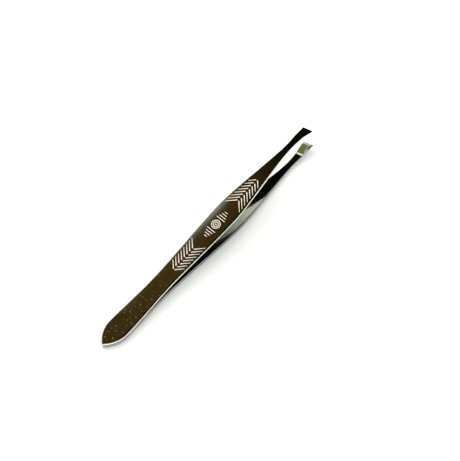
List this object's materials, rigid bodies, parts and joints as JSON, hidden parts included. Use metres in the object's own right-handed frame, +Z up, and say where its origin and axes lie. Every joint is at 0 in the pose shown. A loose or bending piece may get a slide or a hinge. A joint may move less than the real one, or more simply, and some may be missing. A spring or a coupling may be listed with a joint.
{
  "type": "slant tweezers",
  "caption": "Slant-tip steel tweezers: bowed strip arms welded at a pointed tail, with narrow necks and inward-folded slanted tips that meet when squeezed.",
  "frame": {"origin": "centre of the tool's footprint, on the surface that it lies on", "axes": "+X from the tail to the tips, +Y across the strip, +Z up; the tool lies on the nose of its tail and on the belly of its lower arm, so its own centre plane climbs 3.6 degrees towards the tips"},
  "size_m": [0.0956, 0.0074, 0.0133],
  "materials": {
    "polished_steel": "mirror-polished stainless steel with an etched ornament",
    "weld_steel": "fused steel, not visible from outside"
  },
  "bodies": {
    "weld": {"upper_arm_heel": "polished_steel", "lower_arm_heel": "polished_steel", "spot_weld_rear": "weld_steel", "spot_weld_front": "weld_steel"},
    "upper_arm": {"upper_arm_blade": "polished_steel"},
    "lower_arm": {"lower_arm_blade": "polished_steel"}
  },
  "joints": [
    {"name": "upper_arm_flex", "type": "hinge", "parent": "weld", "child": "upper_arm", "pos_m": [-0.02317, 0, 0.00406], "axis": [0, 1, 0], "range_deg": [0, 3.25], "stiffness_Nm_per_rad": 5.5},
    {"name": "lower_arm_flex", "type": "hinge", "parent": "weld", "child": "lower_arm", "pos_m": [-0.02302, 0, 0.00156], "axis": [0, -1, 0], "range_deg": [0, 3.25], "stiffness_Nm_per_rad": 5.5}
  ],
  "couplings": [
    {"joint": "lower_arm_flex", "follows": "upper_arm_flex", "ratio": 1}
  ]
}
